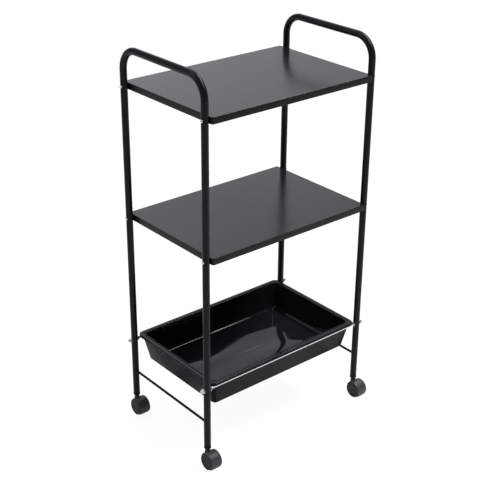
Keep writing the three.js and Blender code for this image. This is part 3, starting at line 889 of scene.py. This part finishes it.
def web_shape():
    """The plate between the wheels, from the cover in to the boss round the axle."""
    outer, boss = HOOD_R - 0.6, 4.8
    plan = []
    arcs = ((outer, -34, 186, 32), (boss, 190, 100, 16))  # radius, degrees from and swept, steps
    for radius, first, sweep, steps in arcs:
        for i in range(steps + 1):
            a = math.radians(first + sweep * i / steps)
            plan.append((radius * math.cos(a), radius * math.sin(a)))
    rings = []
    for x, inset in ((-1, 0.3), (-0.88, 0), (0.88, 0), (1, 0.3)):
        ring = []
        for forward, up in plan:
            reach = math.hypot(forward, up)
            scale = (reach - inset) / reach
            ring.append(about_axle(forward * scale, up * scale, x * WEB_HALF_WIDTH))
        rings.append(ring)
    return lofted(rings)


def neck_shape():
    """The upright neck round the stem, flaring into the cover."""
    foot, bulge, waist = 27, 34.5, 41
    waist_r = 5.7
    top = corners("caster_hood_front_left")[1].z
    outline = [
        (0, foot),
        (5.1, foot),
        (6.8, bulge, 3),
        (waist_r, waist, 6),
        (waist_r, top, 0.6),
        (0, top),
    ]
    return turned(rounded(outline, 0.5, 6), 40)


def wheel_space_shape(sign):
    """What the neck leaves free for one wheel: a drum from the web outwards."""
    sides = 64
    r = HOOD_INNER_R + 0.02
    rings = []
    for x in (WEB_HALF_WIDTH, 2 * HOOD_HALF_WIDTH):
        ring = []
        for i in range(sides):
            a = 2 * math.pi * i / sides
            ring.append(about_axle(r * math.cos(a), r * math.sin(a), sign * x))
        rings.append(ring)
    return lofted(rings)


def hood_mesh():
    """The whole hood: the neck, cut away where the wheels turn, joined to cover and web."""
    neck = combined(
        "neck",
        neck_shape(),
        ("DIFFERENCE", wheel_space_shape(-1)),
        ("DIFFERENCE", wheel_space_shape(1)),
    )
    neck_points = [vertex.co / MM for vertex in neck.vertices]
    neck_faces = [tuple(polygon.vertices) for polygon in neck.polygons]
    return combined(
        "caster_hood",
        mantle_shape(),
        ("UNION", web_shape()),
        ("UNION", (neck_points, neck_faces)),
        smooth=35,
    )


def wheel_shape():
    """One wheel about Z, its closed outer face up, with a raised rim, a dished ring and a cap."""
    inner, outer = 3.4, 15.6
    bore_r, bore_end, web = 2.1, 11.2, inner + 1.2
    outline = [
        (0, bore_end),
        (bore_r, bore_end, 0.2),
        (bore_r, inner, 0.2),
        (5.0, inner, 0.3),
        (5.4, web, 0.4),
        (17.0, web, 0.4),
        (17.4, inner, 0.4),
        (WHEEL_R, inner, 1.6),
        (WHEEL_R, outer, 4.2),
        (16.0, outer, 0.8),
        (15.7, outer - 0.9, 0.5),
        (13.6, outer - 0.9, 0.5),
        (13.1, outer - 0.3, 0.4),
        (6.0, outer - 0.5, 0.4),
        (5.4, outer - 1.3, 0.4),
        (4.8, outer - 0.5, 0.4),
        (0, outer - 0.25),
    ]
    return turned(rounded(outline, 0.4, 5), 64)


def socket_shape():
    """The plug in the tube's foot, with its collar below the tube."""
    low, high = corners("caster_socket_front_left")
    collar = half_spans("caster_socket_front_left")[0]
    bore, plug = 4.1, 6.75
    collar_top = LEG_FOOT_Z - 0.05
    outline = [
        (bore, low.z, 0.3),
        (collar - 2.6, low.z, 0.6),
        (collar, low.z + 2.2, 0.9),
        (collar, collar_top, 0.5),
        (plug, collar_top, 0.2),
        (plug, high.z - 2, 0.6),
        (plug - 0.8, high.z, 0.4),
        (bore, high.z, 0.3),
    ]
    return turned(rounded(outline, 0.4, closed=True), closed=True)


def stem_shape():
    """The swivel pin: thin where the hood holds it, with a groove for the grip ring."""
    low, high = corners("caster_stem_front_left")
    ring_low, ring_high = corners("caster_grip_ring_front_left")
    r, tail, groove = half_spans("caster_stem_front_left")[0], 1.9, 3.1
    groove_low, groove_high = ring_low.z - TOUCH_GAP, ring_high.z + TOUCH_GAP
    outline = [
        (0, low.z),
        (tail, low.z, 0.3),
        (tail, STEM_STEP_Z, 0.2),
        (r, STEM_STEP_Z, 0.4),
        (r, groove_low, 0.2),
        (groove, groove_low, 0.2),
        (groove, groove_high, 0.2),
        (r, groove_high, 0.2),
        (r, high.z, 1),
        (0, high.z),
    ]
    return turned(rounded(outline, 0.3), 40)


def grip_ring_shape():
    """The spring ring, open at one side."""
    low, high = corners("caster_grip_ring_front_left")
    inner, outer = 3.35, 4.7
    first, sweep, steps = 25, 310, 40
    section = [(inner, low.z), (outer, low.z, 0.4), (outer, high.z, 0.4), (inner, high.z)]
    outline = rounded(section, 0.15, closed=True)
    rings = []
    for i in range(steps + 1):
        a = math.radians(first + sweep * i / steps)
        rings.append([Vector((r * math.cos(a), r * math.sin(a), z)) for r, z in outline])
    return lofted(rings)


def axle_shape():
    """A plain pin along X, at the wheels' axis."""
    low, high = corners("caster_axle_front_left")
    half, r = (high.x - low.x) / 2, (high.z - low.z) / 2
    outline = rounded([(0, -half), (r, -half, 0.5), (r, half, 0.5), (0, half)], 0.5)
    return placed(turned(outline, 32), turn=ALONG_X, at=(0, -TRAIL, AXLE_Z))


def add_casters():
    hood = hood_mesh()
    socket = make_mesh("socket", socket_shape())
    stem = make_mesh("stem", stem_shape())
    ring = make_mesh("grip_ring", grip_ring_shape())
    axle = make_mesh("axle", axle_shape())
    wheel = make_mesh("wheel", placed(wheel_shape(), turn=ALONG_X))
    for place in PLACES:
        at = (LEG_AXIS[place].x, LEG_AXIS[place].y, 0)
        axle_at = (at[0], at[1] - TRAIL, AXLE_Z)
        swivel = f"swivel_{place}"
        pieces = (
            ("socket", "plug", socket, TREAD, "caster_plastic", "trolley"),
            ("grip_ring", "split", ring, STEEL, "plain_steel", "trolley"),
            ("stem", "pin", stem, STEEL, "plain_steel", swivel),
            ("axle", "pin", axle, STEEL, "plain_steel", swivel),
            ("hood", "shell", hood, NYLON_PAINTED_LIT, "caster_plastic", swivel),
        )
        for kind, form, mesh, material, slot, body in pieces:
            node = f"caster_{kind}_{place}"
            show(f"{node}_{form}", mesh, material, body, [node], at)
        for side in SIDES:
            node, body = f"caster_wheel_{place}_{side}", f"wheel_{place}_{side}"
            turn = outward(side)
            show(f"{node}_tread", wheel, TREAD, body, [node], axle_at, turn)


# ------------------------------------------------------------------ stage, light and camera
# Lengths are metres from here on.
WALL_DIRECTION = Vector((-0.25, 0.9, 0.35)).normalized()
DARK_SIDE = (0.10, 0.10, 0.11)
DIM_SIDE = (0.22, 0.22, 0.24)
PALE_WALL = (1.20, 1.19, 1.26)
BACKGROUND = (0.99, 0.99, 0.99)  # what the camera sees in place of the room
FLOOR_REACH = 12.0
FLOOR_Z = -0.0003
FLOOR_SEEN = (0.12, 0.12, 0.12)  # the floor's paint, as the camera sees it
FLOOR_GLOW = 0.76  # added to the floor's own light where the camera sees it
FLOOR_BOUNCE = 0.18  # the floor's own light everywhere


def add_stage():
    """A pale floor. Where the camera sees it, its shading is weak and it glows almost white."""
    mesh = bpy.data.meshes.new("floor")
    signs = ((-1, -1), (1, -1), (1, 1), (-1, 1))
    points = [(x * FLOOR_REACH, y * FLOOR_REACH, FLOOR_Z) for x, y in signs]
    mesh.from_pydata(points, [], [(0, 1, 2, 3)])
    floor = bpy.data.objects.new("floor", mesh)
    bpy.context.scene.collection.objects.link(floor)
    material, shader = new_material("pale_floor", (0.86, 0.86, 0.86), 0.75, specular=0.2)
    vary_color(material, shader, add_noise(material, 3), (0.85, 0.85, 0.85), (0.87, 0.87, 0.87))
    tree = material.node_tree
    seen = tree.nodes.new("ShaderNodeLightPath")
    paint = tree.nodes.new("ShaderNodeMix")
    paint.data_type = "RGBA"
    paint.inputs["B"].default_value = (*FLOOR_SEEN, 1)
    tree.links.new(shader.inputs["Base Color"].links[0].from_socket, paint.inputs["A"])
    tree.links.new(seen.outputs["Is Camera Ray"], paint.inputs["Factor"])
    tree.links.new(paint.outputs["Result"], shader.inputs["Base Color"])
    brighten = tree.nodes.new("ShaderNodeMath")
    brighten.operation = "MULTIPLY_ADD"
    brighten.inputs[1].default_value = FLOOR_GLOW
    brighten.inputs[2].default_value = FLOOR_BOUNCE
    tree.links.new(seen.outputs["Is Camera Ray"], brighten.inputs[0])
    tree.links.new(brighten.outputs["Value"], shader.inputs["Emission Strength"])
    shader.inputs["Emission Color"].default_value = (1, 1, 1, 1)
    mesh.materials.append(material)


def add_area_light(name, *, at, aim, size, power):
    """A rectangular light facing aim; power is in watts."""
    data = bpy.data.lights.new(name, "AREA")
    data.shape = "RECTANGLE"
    data.size, data.size_y = size
    data.energy = power
    light = bpy.data.objects.new(name, data)
    bpy.context.scene.collection.objects.link(light)
    light.location = at
    light.rotation_mode = "QUATERNION"
    light.rotation_quaternion = (Vector(aim) - Vector(at)).to_track_quat("-Z", "Y")


def add_world():
    """A dim room, which the trolley mirrors, behind a plain background that the camera sees.

    The room has one pale wall, with a dim opening in its middle.
    """
    world = bpy.data.worlds.new("studio")
    bpy.context.scene.world = world
    world.use_nodes = True
    nodes, links = world.node_tree.nodes, world.node_tree.links
    direction = nodes.new("ShaderNodeTexCoord")
    facing = nodes.new("ShaderNodeVectorMath")
    facing.operation = "DOT_PRODUCT"
    facing.inputs[1].default_value = WALL_DIRECTION
    ramp = nodes.new("ShaderNodeValToRGB")
    stops = ramp.color_ramp.elements
    stops[0].position, stops[0].color = 0.0, (*DARK_SIDE, 1)
    stops[1].position, stops[1].color = 0.9, (*DIM_SIDE, 1)
    for position, color in ((0.3, DIM_SIDE), (0.8, PALE_WALL)):
        stops.new(position).color = (*color, 1)
    seen = nodes.new("ShaderNodeLightPath")
    choice = nodes.new("ShaderNodeMix")
    choice.data_type = "RGBA"
    choice.inputs["B"].default_value = (*BACKGROUND, 1)
    links.new(direction.outputs["Generated"], facing.inputs[0])
    links.new(facing.outputs["Value"], ramp.inputs["Fac"])
    links.new(seen.outputs["Is Camera Ray"], choice.inputs["Factor"])
    links.new(ramp.outputs["Color"], choice.inputs["A"])
    links.new(choice.outputs["Result"], nodes["Background"].inputs["Color"])


def add_lights():
    add_area_light(
        "overhead_softbox", at=(0.95, -0.45, 2.35), aim=(0, -0.1, 0.9), size=(2.2, 0.6), power=55
    )
    add_area_light(
        "left_softbox", at=(-1.6, 1.2, 2.4), aim=(0, 0, 0.3), size=(1.6, 1.2), power=5
    )


def add_camera():
    """The camera stands in front and to the left, looking down on the shelves."""
    place = Vector((-1.4723, -1.7269, 1.5474))
    heading, pitch, roll = math.radians(39.8), math.radians(25.73), math.radians(0.38)
    forward = Vector((math.sin(heading), math.cos(heading), 0)) * math.cos(pitch)
    forward.z = -math.sin(pitch)
    right = forward.cross(Vector((0, 0, 1))).normalized()
    up = right.cross(forward)
    level = Matrix((right, up, -forward)).transposed().to_4x4()
    data = bpy.data.cameras.new("camera")
    data.sensor_width = 36.0
    data.lens = 80.9
    camera = bpy.data.objects.new("camera", data)
    bpy.context.scene.collection.objects.link(camera)
    camera.matrix_world = Matrix.Translation(place) @ level @ Matrix.Rotation(roll, 4, "Z")
    bpy.context.scene.camera = camera


bpy.context.scene.view_settings.view_transform = "Standard"
add_camera()
add_stage()
add_world()
add_lights()
add_tube_frame()
add_shelves()
add_tray()
add_casters()

bpy.context.view_layer.update()
